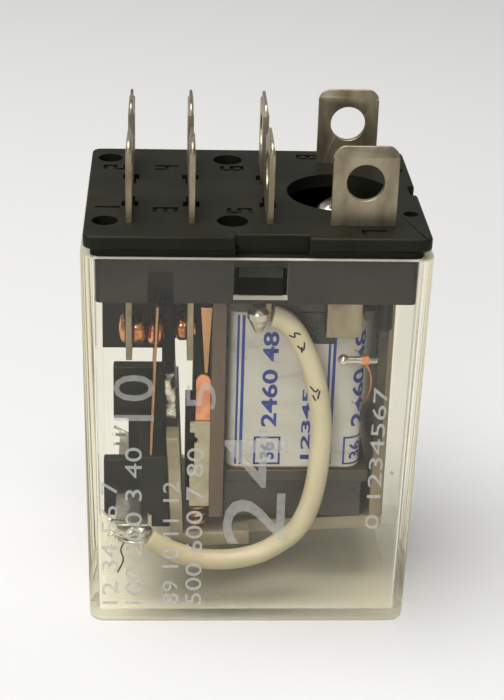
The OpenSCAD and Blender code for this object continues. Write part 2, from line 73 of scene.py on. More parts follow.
# %% Camera
camera_data = bpy.data.cameras.new("studio_camera")
camera = bpy.data.objects.new("studio_camera", camera_data)
bpy.context.scene.collection.objects.link(camera)
camera.location = (-0.00734, -0.1347, 0.08549)
camera.rotation_euler = [math.radians(a) for a in (64.547, -1.605, -2.49)]
camera_data.lens = 88.18
camera_data.sensor_width = 36
camera_data.clip_start = 0.005
bpy.context.scene.camera = camera
print("camera at", [round(c * 1000) for c in camera.location], "mm")

# %% [markdown]
# ## The studio
# The relay stands on a pale sweep under one broad soft lamp above and a weaker one in front.
# The world is a dim white, so that black plastic stays black and metal keeps its colour.
# Clear plastic needs many bounces: light that runs along a thick wall goes dark without them.

# %% Floor, lamps and world
def deselect():
    if bpy.context.object and bpy.context.object.mode != "OBJECT":
        bpy.ops.object.mode_set(mode="OBJECT")
    bpy.ops.object.select_all(action="DESELECT")


deselect()
bpy.ops.mesh.primitive_plane_add(size=4)
floor = bpy.context.object
floor.name = "studio_floor"

floor_paint = bpy.data.materials.new("floor_paint")
floor_paint.use_nodes = True
floor_shader = floor_paint.node_tree.nodes["Principled BSDF"]
floor_shader.inputs["Base Color"].default_value = (0.62, 0.617, 0.607, 1)
floor_shader.inputs["Roughness"].default_value = 0.75
floor_shader.inputs["Specular IOR Level"].default_value = 0.2
floor.data.materials.append(floor_paint)


def soft_lamp(name, place, target, size, power):
    lamp = bpy.data.lights.new(name, "AREA")
    lamp.shape = "SQUARE"
    lamp.size = size
    lamp.energy = power
    holder = bpy.data.objects.new(name, lamp)
    bpy.context.scene.collection.objects.link(holder)
    holder.location = place
    aim = Vector(target) - Vector(place)
    holder.rotation_euler = aim.to_track_quat("-Z", "Y").to_euler()


soft_lamp("top_lamp", (-0.10, -0.06, 0.45), (0, 0, 0.02), 0.35, 2.9)
soft_lamp("front_lamp", (-0.14, -0.40, 0.22), (0, 0, 0.02), 0.1, 0.36)

world = bpy.data.worlds.new("dim_white_room")
bpy.context.scene.world = world
world.use_nodes = True
world.node_tree.nodes["Background"].inputs["Color"].default_value = (1, 0.99, 0.97, 1)
world.node_tree.nodes["Background"].inputs["Strength"].default_value = 0.32
bpy.context.scene.view_settings.view_transform = "Standard"
for limit, most in (("max_bounces", 24), ("glossy_bounces", 16),
                    ("transmission_bounces", 24), ("transparent_max_bounces", 24)):
    setattr(bpy.context.scene.cycles, limit, most)
print("lamps and world are ready")

# %% [markdown]
# ## A helper for finishes
# Nearly every finish is the same idea: two close colours mixed by a noise that is as coarse
# as the real unevenness, a roughness that wanders with it, and a fine bump. A stretched
# mapping turns the noise into the streaks that rolling leaves in sheet metal.

# %% Finish helper
def finish(name, colour, second, scale, rough, metal=0.0, bump=0.1, grain=3000,
           stretch=(1, 1, 1), spread=0.1, contrast=(0.35, 0.65), shine=0.5):
    paint = bpy.data.materials.new(name)
    paint.use_nodes = True
    tree = paint.node_tree
    shader = tree.nodes["Principled BSDF"]
    shader.inputs["Metallic"].default_value = metal
    shader.inputs["Specular IOR Level"].default_value = shine
    place = tree.nodes.new("ShaderNodeTexCoord")
    turn = tree.nodes.new("ShaderNodeMapping")
    turn.inputs["Scale"].default_value = stretch
    tree.links.new(place.outputs["Object"], turn.inputs["Vector"])
    cloud = tree.nodes.new("ShaderNodeTexNoise")
    cloud.inputs["Scale"].default_value = scale
    cloud.inputs["Detail"].default_value = 6
    tree.links.new(turn.outputs["Vector"], cloud.inputs["Vector"])
    ramp = tree.nodes.new("ShaderNodeValToRGB")
    ramp.color_ramp.elements[0].position = contrast[0]
    ramp.color_ramp.elements[1].position = contrast[1]
    ramp.color_ramp.elements[0].color = (*second, 1)
    ramp.color_ramp.elements[1].color = (*colour, 1)
    tree.links.new(cloud.outputs["Fac"], ramp.inputs["Fac"])
    tree.links.new(ramp.outputs["Color"], shader.inputs["Base Color"])
    wander = tree.nodes.new("ShaderNodeMapRange")
    wander.inputs["To Min"].default_value = max(0.02, rough - spread)
    wander.inputs["To Max"].default_value = min(1.0, rough + spread)
    tree.links.new(cloud.outputs["Fac"], wander.inputs["Value"])
    tree.links.new(wander.outputs["Result"], shader.inputs["Roughness"])
    fine = tree.nodes.new("ShaderNodeTexNoise")
    fine.inputs["Scale"].default_value = grain
    fine.inputs["Detail"].default_value = 3
    tree.links.new(turn.outputs["Vector"], fine.inputs["Vector"])
    relief = tree.nodes.new("ShaderNodeBump")
    relief.inputs["Strength"].default_value = bump
    relief.inputs["Distance"].default_value = RELIEF
    tree.links.new(fine.outputs["Fac"], relief.inputs["Height"])
    tree.links.new(relief.outputs["Normal"], shader.inputs["Normal"])
    return paint


def dress(paint, *names):
    for name in names:
        piece = nodes[name]
        if not piece.material_slots:
            piece.data.materials.append(paint)
        for place in piece.material_slots:
            place.material = paint


# %% [markdown]
# ## Finishes of the plastics
# The base, the carrier and the bobbin are one black moulding compound, satin with a faint
# orange peel. The plate beside the coil is a smoked brown sheet. The bracket is cream.

# %% Plastics
black = finish("black_moulding", (0.0135, 0.0138, 0.0078), (0.008, 0.0082, 0.0045), 300, 0.44,
               bump=0.1, grain=1200, shine=0.13)
rubbed = finish("rubbed_moulding", (0.026, 0.026, 0.019), (0.015, 0.015, 0.011), 260, 0.5,
                bump=0.1, grain=1200, shine=0.2)
smoked = finish("smoked_sheet", (0.13, 0.09, 0.058), (0.085, 0.057, 0.036), 160, 0.42, bump=0.1,
                stretch=(1, 1, 0.2))
umber = finish("umber_moulding", (0.05, 0.042, 0.027), (0.028, 0.024, 0.015), 220, 0.3, bump=0.15,
               grain=1500)
cream = finish("cream_moulding", (0.42, 0.37, 0.26), (0.27, 0.235, 0.16), 500, 0.5, bump=0.2)
tape = finish("black_tape", (0.012, 0.012, 0.012), (0.005, 0.005, 0.005), 900, 0.28, bump=1.0,
              grain=900)

# %% [markdown]
# ## Finishes of the metals
# The blades are brass with dull tin on them: grey, warm, and streaked along their length.
# The contacts are bright and coppery. Iron parts are plated and duller.

# %% Metals
tin = finish("dull_tin", (0.4, 0.345, 0.24), (0.2, 0.165, 0.105), 520, 0.38, metal=0.85,
             bump=0.5, grain=2200, stretch=(1, 1, 0.45), contrast=(0.32, 0.6))
iron = finish("plated_iron", (0.34, 0.28, 0.195), (0.19, 0.155, 0.105), 300, 0.42, metal=0.7,
              bump=0.3, stretch=(1, 1, 0.3))
sheared = finish("sheared_iron", (0.4, 0.35, 0.25), (0.25, 0.215, 0.145), 350, 0.48, metal=0.4,
                 bump=0.5, stretch=(0.3, 1, 1))
# Torn edge: dark sheared metal mottled with near-white crumbs; the crumbs are painted highlights.
torn_and_glints = finish("torn_edge_and_glints", (0.75, 0.72, 0.64), (0.02, 0.019, 0.016), 800, 0.25, metal=0.7,
              bump=1.0, grain=900, contrast=(0.47, 0.6))
contact = finish("contact_metal", (0.88, 0.4, 0.18), (0.4, 0.15, 0.06), 700, 0.16, metal=1.0,
                 bump=0.15, spread=0.06)
copper = finish("bare_copper", (0.85, 0.37, 0.2), (0.6, 0.22, 0.11), 900, 0.35, metal=0.6,
                bump=0.4)
bronze = finish("spring_bronze", (0.62, 0.36, 0.18), (0.4, 0.21, 0.1), 260, 0.28, metal=0.9,
                bump=0.1, stretch=(1, 1, 0.15))
solder = finish("bright_solder", (0.82, 0.79, 0.71), (0.45, 0.43, 0.37), 900, 0.18, metal=0.9,
                bump=0.5, grain=1500)
core_end = finish("core_end", (0.62, 0.6, 0.52), (0.2, 0.19, 0.16), 900, 0.25, metal=0.95,
                  bump=1.0, grain=1100)
wound = finish("wound_wire", (0.42, 0.17, 0.07), (0.28, 0.1, 0.04), 3000, 0.3, metal=0.3,
               bump=0.8, grain=200, stretch=(0.02, 0.02, 40))
dress(solder, "com_solder_front", "com_solder_rear", "coil_pins")
dress(copper, "shading_ring", "coil_lead_front", "coil_lead_rear")
dress(tape, "insulating_tape")
dress(wound, "winding")
print("first finishes are on")

# %% [markdown]
# ## Edges that catch the light
# No stamped or moulded part has a razor edge, and a thin bright line along each edge is what
# makes it look real. A copy of the CAD mesh is merged, its flat faces are joined, and its
# sharp edges are bevelled by a few hundredths of a millimetre. `pick` selects by a test.

# %% Soft edges
SHARP_ANGLE = math.radians(30)
SMOOTH_ANGLE = math.radians(35)
FLAT_ANGLE = math.radians(0.5)
BROAD = 0.3 * MM * MM  # from this area on, a face along an axis is shaded flat


def pick(test, kind="FACE"):
    """Selects vertices, edges or faces of the mesh in edit mode by a test on each."""
    bpy.ops.mesh.select_mode(type=kind)
    bpy.ops.mesh.select_all(action="DESELECT")
    work = bmesh.from_edit_mesh(bpy.context.object.data)
    group = {"VERT": work.verts, "EDGE": work.edges, "FACE": work.faces}[kind]
    chosen = [item for item in group if test(item)]
    for item in chosen:
        item.select_set(True)
    work.select_flush_mode()
    bmesh.update_edit_mesh(bpy.context.object.data)
    return len(chosen)


def sharp(edge):
    return len(edge.link_faces) == 2 and edge.calc_face_angle() > SHARP_ANGLE


def copy_node(name):
    deselect()
    mesh = nodes[name].data.copy()
    mesh.materials.clear()
    piece = bpy.data.objects.new(name + "_finished", mesh)
    bpy.context.scene.collection.objects.link(piece)
    piece.select_set(True)
    bpy.context.view_layer.objects.active = piece
    bpy.ops.object.mode_set(mode="EDIT")
    bpy.ops.mesh.select_all(action="SELECT")
    bpy.ops.mesh.remove_doubles(threshold=0.000001)
    bpy.ops.mesh.dissolve_limited(angle_limit=FLAT_ANGLE)
    return piece


def shade(piece):
    """Smooth bevels and bores, but flat shading on the broad faces along the axes."""
    bpy.ops.object.mode_set(mode="OBJECT")
    bpy.ops.object.shade_smooth_by_angle(angle=SMOOTH_ANGLE)
    for face in piece.data.polygons:
        if max(abs(c) for c in face.normal) > 0.9999 and face.area > BROAD:
            face.use_smooth = False


def hand_over(piece, name, paint):
    piece.data.materials.append(paint)
    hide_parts(name)
    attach(piece, body_of[name])


def soften(name, width, paint, test=sharp, segments=2):
    piece = copy_node(name)
    pick(test, "EDGE")
    bpy.ops.mesh.bevel(offset=width * MM, segments=segments, clamp_overlap=False)
    shade(piece)
    hand_over(piece, name, paint)
    return piece


for name, width, slot, paint in [
        ("yoke", 0.15, "iron_plated", iron), ("coil_barrier", 0.08, "smoked_plastic", smoked),
        ("spring_bracket", 0.06, "cream_plastic", cream),
        ("copper_strap", 0.05, "copper", copper), ("carrier", 0.12, "black_plastic", black),
        ("tapered_tongue", 0.04, "spring_bronze", bronze), ("core", 0.12, "iron_plated", core_end),
        ("yoke_stud", 0.15, "iron_plated", core_end)]:
    soften(name, width, paint)
print("edges softened")

# %% [markdown]
# ## The contacts
# A riveted contact is a small upset bead: its rim is so round that the lamp draws one bright
# spot on it. The same bevel does it, only much wider and in more steps.

# %% Contacts
for name in list(nodes):
    if name.startswith("contact_n") or name.startswith("moving_contact"):
        soften(name, 0.2, contact, segments=4)
print("contacts rounded")

# %% [markdown]
# ## The black base
# Only the rim of the flange is rounded, because the fine moulded numbers would clog up. The
# outer faces of the skirt are a shade lighter, rubbed by the cover as it slides on.

# %% Base
base_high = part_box("base")[1]
rim_x = base_high.x - 0.6 * MM
plug_y = base_high.y - 1.0 * MM
flange_low = base_high.z - 1.2 * MM


def on_rim(edge):
    return sharp(edge) and all(
        v.co.z > flange_low and (abs(v.co.x) > rim_x or abs(v.co.y) > plug_y) for v in edge.verts)


base = soften("base", 0.2, black, on_rim, 3)
base.data.materials.append(rubbed)
for face in base.data.polygons:
    if abs(face.normal.y) > 0.99 and face.center.z < flange_low - 1 * MM:
        if abs(abs(face.center.y) - plug_y) < 0.1 * MM:
            face.material_index = 1
print("base rim rounded, skirt rubbed on", sum(f.material_index for f in base.data.polygons))

# %% [markdown]
# ## The armature
# A clapper is stamped from sheet. The edges of its two upper prongs are torn by the press and
# dark; the bright crumbs mixed into them are painted highlights. Those faces get a finish of their
# own.

# %% Armature
armature = soften("armature", 0.08, sheared)
# The top faces get the torn finish, whose bright crumbs are painted highlights.
armature.data.materials.append(torn_and_glints)
prong_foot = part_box("armature")[1].z - 5 * MM
for face in armature.data.polygons:
    if face.center.z > prong_foot:
        face.material_index = 1
print("armature has", len(armature.data.polygons), "faces")

# %% [markdown]
# ## The contact springs
# The springs are thin bronze. Their level feet are covered with solder from the lead wire.

# %% Contact springs
for name in ("contact_spring_front", "contact_spring_rear"):
    spring = soften(name, 0.03, bronze)
    spring.data.materials.append(solder)
    foot_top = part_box(name)[0].z + 0.3 * MM
    for face in spring.data.polygons:
        if face.center.z < foot_top:
            face.material_index = 1
print("spring feet tinned")

# %% [markdown]
# ## The blades
# The eight blades are stamped, and their tips are coined thinner so that they find their way
# into a socket. Each blade is cut across below its tip, the tip is squeezed, and the corners
# are rounded. One loop does all eight, along X for six and along Y for the two coil blades.

# %% Blades
coin = 0.9 * MM          # height of the coined tip
squeeze = 0.45           # its thickness against that of the blade
tip = 0.7 * MM           # the corners are looked for this far below the end
sheet = 0.51 * MM        # an edge shorter than this runs through the sheet
for name in nodes:
    if not name.startswith("terminal_"):
        continue
    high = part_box(name)[1]
    thin = (1, squeeze, 1) if "coil" in name else (squeeze, 1, 1)
    piece = copy_node(name)
    pick(lambda e: all(v.co.z > high.z - tip for v in e.verts)
         and (e.verts[0].co - e.verts[1].co).length < sheet, "EDGE")
    bpy.ops.mesh.bevel(offset=0.3 * MM, segments=4, clamp_overlap=False)
    bpy.ops.mesh.select_all(action="SELECT")
    bpy.ops.mesh.bisect(plane_co=(0, 0, high.z - coin), plane_no=(0, 0, 1))
    pick(lambda v: v.co.z > high.z - coin + 0.02 * MM, "VERT")
    bpy.ops.transform.resize(value=thin)
    pick(sharp, "EDGE")
    bpy.ops.mesh.bevel(offset=0.05 * MM, segments=2, clamp_overlap=False)
    shade(piece)
    hand_over(piece, name, tin)
print("eight blades coined")

# %% [markdown]
# ## The bobbin
# The spool is a dark umber moulding. Only its long edges are rounded. Its posts hold the
# pins that the coil wire is wound on.

# %% Bobbin
soften("bobbin", 0.1, umber,
       lambda e: sharp(e) and (e.verts[0].co - e.verts[1].co).length > 1 * MM)

# %% [markdown]
# ## The printed band round the coil
# White glossy tape with creases that run round the coil. The real print repeats round the
# tape, so one set of lines and plain numbers is bent round the coil six times. Text is made
# a mesh first, fitted to its size, and each of its points is then walked round the flat
# sides and the round corners of the coil.

# %% Band
band = finish("band_paper", (0.6, 0.585, 0.54), (0.47, 0.455, 0.415), 220, 0.3, bump=0.25,
              grain=700, stretch=(1, 1, 2.2), contrast=(0.3, 0.7))
ink = finish("blue_ink", (0.012, 0.045, 0.33), (0.008, 0.028, 0.22), 700, 0.4, bump=0.1)
dress(band, "coil_label")
band_low, band_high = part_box("coil_label")
coil_x = (band_low.x + band_high.x) / 2
CORNER = 1.3 * MM
INK = 0.015 * MM
flat_x = (band_high.x - band_low.x) / 2 - CORNER
flat_y = (band_high.y - band_low.y) / 2 - CORNER
bend = math.pi / 2 * CORNER
around = 4 * (flat_x + flat_y + bend)


def round_coil(way, z):
    """A place on the printed band: way in metres from its middle front, z in metres."""
    way %= around
    for length, corner, heading in (
            (flat_x, (1, -1), 0), (2 * flat_y, (1, 1), 90), (2 * flat_x, (-1, 1), 180),
            (2 * flat_y, (-1, -1), 270), (flat_x, (0, -1), 0)):
        out = Vector((math.sin(math.radians(heading)), -math.cos(math.radians(heading)), 0))
        ahead = Vector((-out.y, out.x, 0))
        start = Vector((coil_x + corner[0] * flat_x, corner[1] * flat_y, z))
        if way <= length:
            return start + (CORNER + INK) * out + (way - length) * ahead
        way -= length
        if way <= bend:
            turn = way / CORNER
            return start + (CORNER + INK) * (math.cos(turn) * out + math.sin(turn) * ahead)
        way -= bend


def flat_text(name, words, length, height, bold=0.0):
    """Numbers as a flat mesh, fitted to a length along X and a height along Y."""
    deselect()
    bpy.ops.object.text_add()
    piece = bpy.context.object
    piece.name = name
    piece.data.body = words
    piece.data.resolution_u = 3
    piece.data.offset = bold
    bpy.ops.object.convert(target="MESH")
    piece = bpy.context.object
    xs = [v.co.x for v in piece.data.vertices]
    ys = [v.co.y for v in piece.data.vertices]
    for v in piece.data.vertices:
        v.co.x = (v.co.x - min(xs)) / (max(xs) - min(xs)) * length
        v.co.y = (v.co.y - min(ys)) / (max(ys) - min(ys)) * height
    return piece


def flat_bar(name, length, height, parts=1):
    """A plain printed line with enough cross cuts to bend."""
    deselect()
    bpy.ops.mesh.primitive_grid_add(x_subdivisions=1, y_subdivisions=parts, size=1)
    piece = bpy.context.object
    piece.name = name
    for v in piece.data.vertices:
        v.co.x = (v.co.x + 0.5) * length
        v.co.y = (v.co.y + 0.5) * height
    return piece


def join(pieces, name):
    deselect()
    for piece in pieces:
        piece.select_set(True)
    bpy.context.view_layer.objects.active = pieces[0]
    bpy.ops.object.join()
    pieces[0].name = name
    return pieces[0]


def print_piece(pieces, name, body, paint, outward):
    """Joins flat marks that are in place, turns them outward and gives them their ink."""
    piece = join(pieces, name)
    for face in piece.data.polygons:
        if face.normal.dot(outward(face.center)) < 0:
            face.flip()
    piece.data.update()
    piece.data.materials.clear()
    piece.data.materials.append(paint)
    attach(piece, body)
    return piece


# %% [markdown]
# Each mark has the height at which it starts, its length along the coil, the place of its
# foot round the coil, and its size from foot to top. Numbers stand with their tops to the left.

# %% Band print
REPEATS = 6
marks = [
    # words or None for a bar, start z, length, foot, size from foot to top, in millimetres
    (None, 13.7, 13.9, -4.35, 0.26),
    (None, 13.7, 13.9, -4.8, 0.2),
    ("2460 48", 17.3, 8.8, -1.5, 1.35),
    ("36", 14.2, 1.6, -1.6, 1.25),
    (None, 13.7, 2.6, -1.1, 0.18),
    (None, 13.7, 2.6, -3.2, 0.18),
    (None, 13.7, 0.18, -1.1, 2.28),
    (None, 16.2, 0.18, -1.1, 2.28),
    ("123456789", 14.2, 12.6, 1.4, 0.8),
]
printed = []
for turn in range(REPEATS):
    for words, start, length, foot, height in marks:
        if words:
            mark = flat_text("mark", words, length * MM, height * MM, 0.025)
        else:
            mark = flat_bar("mark", length * MM, height * MM, max(1, round(height * 8)))
        for v in mark.data.vertices:
            way = foot * MM + around / REPEATS * turn - v.co.y
            v.co = round_coil(way, start * MM + v.co.x)
        mark.data.update()
        printed.append(mark)
print_piece(printed, "band_print", "housing", ink,
            lambda c: Vector((c.x - coil_x, c.y, 0)))
print("printed", len(printed), "marks round the coil")

# %% [markdown]
# ## The clear cover
# A moulded cover is never a plain box. It narrows a little to its closed end so that it can
# leave the mould, and its edges are round. It starts as a cube, is drafted and bevelled in
# edit mode, and is then hollowed by an inset and an extrude from its open side.

# %% Cover
cover_low, cover_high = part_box("cover")
draft = 0.975
wall = 1.0 * MM
floor_t = 1.1 * MM
side_round = 1.3 * MM
end_round = 0.5 * MM
size = cover_high - cover_low
middle = (cover_high + cover_low) / 2

deselect()
bpy.ops.mesh.primitive_cube_add(size=1, location=middle, scale=size)
bpy.ops.object.transform_apply(location=True, rotation=True, scale=True)
cover = bpy.context.object
cover.name = "cover_shell"
bpy.ops.object.mode_set(mode="EDIT")
pick(lambda f: f.normal.z < -0.9)
bpy.ops.transform.resize(value=(draft, draft, 1))
pick(lambda e: abs(e.verts[0].co.z - e.verts[1].co.z) > 0.01, "EDGE")
bpy.ops.mesh.bevel(offset=side_round, segments=6)
pick(lambda e: all(v.co.z < 0.1 * MM for v in e.verts), "EDGE")
bpy.ops.mesh.bevel(offset=end_round, segments=4)
pick(lambda f: f.normal.z > 0.9)
bpy.ops.mesh.inset(thickness=wall)
bpy.ops.mesh.extrude_region_move(TRANSFORM_OT_translate={
    "value": (0, 0, floor_t - size.z)})
bpy.ops.transform.resize(value=(draft, draft, 1))
bpy.ops.mesh.select_all(action="SELECT")
bpy.ops.mesh.remove_doubles(threshold=0.00001)
bpy.ops.mesh.normals_make_consistent(inside=False)
bpy.ops.object.mode_set(mode="OBJECT")
print("cover faces:", len(cover.data.polygons))

# %% [markdown]
# The latch window is cut with a boolean, the way one would mill it.

# %% Latch window
window_at = (0.25 * MM, cover_low.y, 32.2 * MM)
window_size = (4.3 * MM, 4 * MM, 2.8 * MM)
deselect()
bpy.ops.mesh.primitive_cube_add(size=1, location=window_at, scale=window_size)
bpy.ops.object.transform_apply(location=True, rotation=True, scale=True)
cutter = bpy.context.object
deselect()
cover.select_set(True)
bpy.context.view_layer.objects.active = cover
cut = cover.modifiers.new("window", "BOOLEAN")
cut.object = cutter
cut.solver = "EXACT"
bpy.ops.object.modifier_apply(modifier="window")
bpy.data.objects.remove(cutter)
bpy.ops.object.shade_smooth_by_angle(angle=SHARP_ANGLE)
print("cover with window:", len(cover.data.polygons), "faces")

# %% [markdown]
# Clear plastic bends light, so it is real glass to the camera. To lamps it is a pale
# window: otherwise everything inside a closed glass box would be black. The closed end and
# the rim are scuffed, so there part of the light is scattered by a dull surface. The bevel
# round the lower edge takes the brighter haze of the rim as a painted highlight.

# %% Clear plastic
HAZE_SPREAD = 0.12


def clear_plastic(name, haze, colour):
    """Glass for the camera and a window for lamps, with a share of scattering haze."""
    paint = bpy.data.materials.new(name)
    paint.use_nodes = True
    tree = paint.node_tree
    tree.nodes.remove(tree.nodes["Principled BSDF"])
    glass = tree.nodes.new("ShaderNodeBsdfGlass")
    glass.inputs["Color"].default_value = (0.988, 0.98, 0.945, 1)
    glass.inputs["Roughness"].default_value = 0.0
    glass.inputs["IOR"].default_value = 1.34
    window = tree.nodes.new("ShaderNodeBsdfTransparent")
    window.inputs["Color"].default_value = (0.93, 0.93, 0.92, 1)
    where = tree.nodes.new("ShaderNodeTexCoord")
    waves = tree.nodes.new("ShaderNodeTexNoise")
    waves.inputs["Scale"].default_value = 120
    tree.links.new(where.outputs["Object"], waves.inputs["Vector"])
    ripple = tree.nodes.new("ShaderNodeBump")
    ripple.inputs["Strength"].default_value = 0.05
    ripple.inputs["Distance"].default_value = 0.0001
    tree.links.new(waves.outputs["Fac"], ripple.inputs["Height"])
    tree.links.new(ripple.outputs["Normal"], glass.inputs["Normal"])
    seen = glass.outputs["BSDF"]
    if haze:
        dull = tree.nodes.new("ShaderNodeBsdfDiffuse")
        dull.inputs["Color"].default_value = (*colour, 1)
        share = tree.nodes.new("ShaderNodeMapRange")
        share.inputs["To Min"].default_value = haze - HAZE_SPREAD
        share.inputs["To Max"].default_value = haze + HAZE_SPREAD
        tree.links.new(waves.outputs["Fac"], share.inputs["Value"])
        blend = tree.nodes.new("ShaderNodeMixShader")
        tree.links.new(share.outputs["Result"], blend.inputs["Fac"])
        tree.links.new(seen, blend.inputs[1])
        tree.links.new(dull.outputs["BSDF"], blend.inputs[2])
        seen = blend.outputs["Shader"]
    rays = tree.nodes.new("ShaderNodeLightPath")
    either = tree.nodes.new("ShaderNodeMixShader")
    tree.links.new(rays.outputs["Is Shadow Ray"], either.inputs["Fac"])
    tree.links.new(seen, either.inputs[1])
    tree.links.new(window.outputs["BSDF"], either.inputs[2])
    tree.links.new(either.outputs["Shader"], tree.nodes["Material Output"].inputs["Surface"])
    return paint


cover.data.materials.append(clear_plastic("clear_plastic", 0, None))
cover.data.materials.append(clear_plastic("scuffed_end", 0.42, (0.55, 0.515, 0.4)))
cover.data.materials.append(clear_plastic("scuffed_rim_and_painted_highlight", 0.6, (0.6, 0.56, 0.45)))
for face in cover.data.polygons:
    if face.center.z > cover_high.z - 1 * MM and face.normal.z > 0.9:
        face.material_index = 2
    # Painted highlight: the bevel along the lower edge gets the brighter rim haze.
    elif face.center.z < 0.6 * MM and -0.95 < face.normal.z < -0.05:
        face.material_index = 2
    elif face.center.z < 2 * MM and abs(face.normal.z) > 0.9:
        face.material_index = 1
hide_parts("cover")
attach(cover, "housing")
print("cover is clear, with a scuffed end and rim")

# %% [markdown]
# ## The print on the cover
# The cover carries pale grey columns of small print. They are replaced by plain numbers of
# the same size and place. Each column reads upwards on the front wall, which leans back by
# its draft, so the height of every point decides how far forward it lies.

# %% Cover print
small_print = [
    # words, right edge x, start z, length, height of the numbers
    ("12 34 56 7", -11.15, 2.0, 12.2, 1.35),
    ("100 200 3 40", -9.1, 2.0, 15.4, 1.4),
    ("89 10 11 12", -6.0, 2.0, 12.2, 1.35),
    ("500 600 7 80", -4.0, 2.0, 15.4, 1.4),
    ("0 1234567", 10.9, 9.6, 13.5, 1.15),
]
large_print = [
    ("24", 2.9, 8.0, 11.0, 5.2),
    ("10", -8.1, 19.9, 4.2, 3.3),
    ("5", -3.1, 21.0, 2.4, 2.4),
]
for name, columns, cover_up in (("small_print", small_print, 0.78),
                                ("large_print", large_print, 0.5)):
    pale_ink = finish(name + "_ink", (0.56, 0.56, 0.52), (0.44, 0.44, 0.41), 1500, 0.6, bump=0.1)
    pale_ink.node_tree.nodes["Principled BSDF"].inputs["Alpha"].default_value = cover_up
    printed = []
    for words, edge, start, length, height in columns:
        mark = flat_text("mark", words, length * MM, height * MM)
        for v in mark.data.vertices:
            z = start * MM + v.co.x
            lean = draft + (1 - draft) * z / cover_high.z
            v.co = Vector((edge * MM - v.co.y, cover_low.y * lean - 0.012 * MM, z))
        mark.data.update()
        printed.append(mark)
    print_piece(printed, name, "housing", pale_ink, lambda c: Vector((0, -1, 0)))
print("cover print:", len(small_print) + len(large_print), "columns")

# %% [markdown]
# ## The lead wires
# Two cream wires carry the current to the moving springs. Each is a smooth tube along a
# curve through a few points. Its sleeve wrinkles a little where it bends, and towards its
# lower end a height ramp mixes a brown into the colour as painted shade.

# %% Lead wires
LEAD_Y = -8.4
ROUTE_STEPS = 16
route = [
    (1.4, LEAD_Y, 28.5), (2.1, LEAD_Y, 28.3), (2.9, LEAD_Y, 27.6), (3.7, LEAD_Y, 26.4),
    (4.7, LEAD_Y, 24.1), (5.4, LEAD_Y, 21.5), (5.8, LEAD_Y, 18.7), (5.8, LEAD_Y, 16.0),
    (5.6, LEAD_Y, 13.4), (5.1, LEAD_Y, 10.8), (4.2, LEAD_Y, 8.7), (2.8, LEAD_Y, 7.3),
    (0.9, LEAD_Y, 6.1), (-1.6, LEAD_Y, 5.5), (-4.3, LEAD_Y, 5.6), (-6.4, LEAD_Y, 6.3),
    (-8.5, LEAD_Y, 7.6),
]


def spline(points, steps):
    """Points along a smooth curve through the given ones."""
    out = []
    for i in range(len(points) - 1):
        p0 = Vector(points[max(i - 1, 0)])
        p1 = Vector(points[i])
        p2 = Vector(points[i + 1])
        p3 = Vector(points[min(i + 2, len(points) - 1)])
        for k in range(steps):
            t = k / steps
            out.append(0.5 * (2 * p1 + (p2 - p0) * t + (2 * p0 - 5 * p1 + 4 * p2 - p3) * t ** 2
                              + (3 * p1 - p0 - 3 * p2 + p3) * t ** 3))
    out.append(Vector(points[-1]))
    return out


def tube(name, points, radius, sides=20, wobble=None):
    """A round tube as a mesh along points, with end caps. wobble(i) scales each ring."""
    verts, faces, last = [], [], len(points) - 1
    side = None
    for i, p in enumerate(points):
        along = (points[min(i + 1, last)] - points[max(i - 1, 0)]).normalized()
        if side is None:
            side = along.orthogonal().normalized()
        side = (side - along * side.dot(along)).normalized()
        across = along.cross(side)
        r = radius * (wobble(i) if wobble else 1)
        for k in range(sides):
            a = 2 * math.pi * k / sides
            verts.append(p + r * (math.cos(a) * side + math.sin(a) * across))
    for i in range(last):
        for k in range(sides):
            n = (k + 1) % sides
            faces.append((i * sides + k, i * sides + n, (i + 1) * sides + n,
                          (i + 1) * sides + k))
    faces.append(tuple(reversed(range(sides))))
    faces.append(tuple(last * sides + k for k in range(sides)))
    mesh = bpy.data.meshes.new(name)
    mesh.from_pydata(verts, [], faces)
    mesh.update()
    piece = bpy.data.objects.new(name, mesh)
    bpy.context.scene.collection.objects.link(piece)
    for face in mesh.polygons:
        face.use_smooth = len(face.vertices) == 4
    return piece


sleeve = finish("cream_sleeve", (0.64, 0.57, 0.405), (0.5, 0.44, 0.3), 260, 0.3, bump=0.5,
                grain=900, contrast=(0.3, 0.7))
tree = sleeve.node_tree
# Painted shade: a height ramp mixes a brown into the sleeve colour, darker towards its lower end.
split = tree.nodes.new("ShaderNodeSeparateXYZ")
tree.links.new(tree.nodes["Texture Coordinate"].outputs["Object"], split.inputs["Vector"])
lower_shade_amount = tree.nodes.new("ShaderNodeMapRange")
lower_shade_amount.inputs["From Min"].default_value = 5 * MM
lower_shade_amount.inputs["From Max"].default_value = 18 * MM
lower_shade_amount.inputs["To Min"].default_value = 0.55
lower_shade_amount.inputs["To Max"].default_value = 0.0
tree.links.new(split.outputs["Z"], lower_shade_amount.inputs["Value"])
painted_lower_shade = tree.nodes.new("ShaderNodeMixRGB")
painted_lower_shade.inputs["Color2"].default_value = (0.33, 0.27, 0.16, 1)
tree.links.new(lower_shade_amount.outputs["Result"], painted_lower_shade.inputs["Fac"])
tree.links.new(tree.nodes["Color Ramp"].outputs["Color"], painted_lower_shade.inputs["Color1"])
tree.links.new(painted_lower_shade.outputs["Color"], tree.nodes["Principled BSDF"].inputs["Base Color"])
lead_low, lead_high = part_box("lead_wire_front")
lead_r = (lead_high.y - lead_low.y) / 2
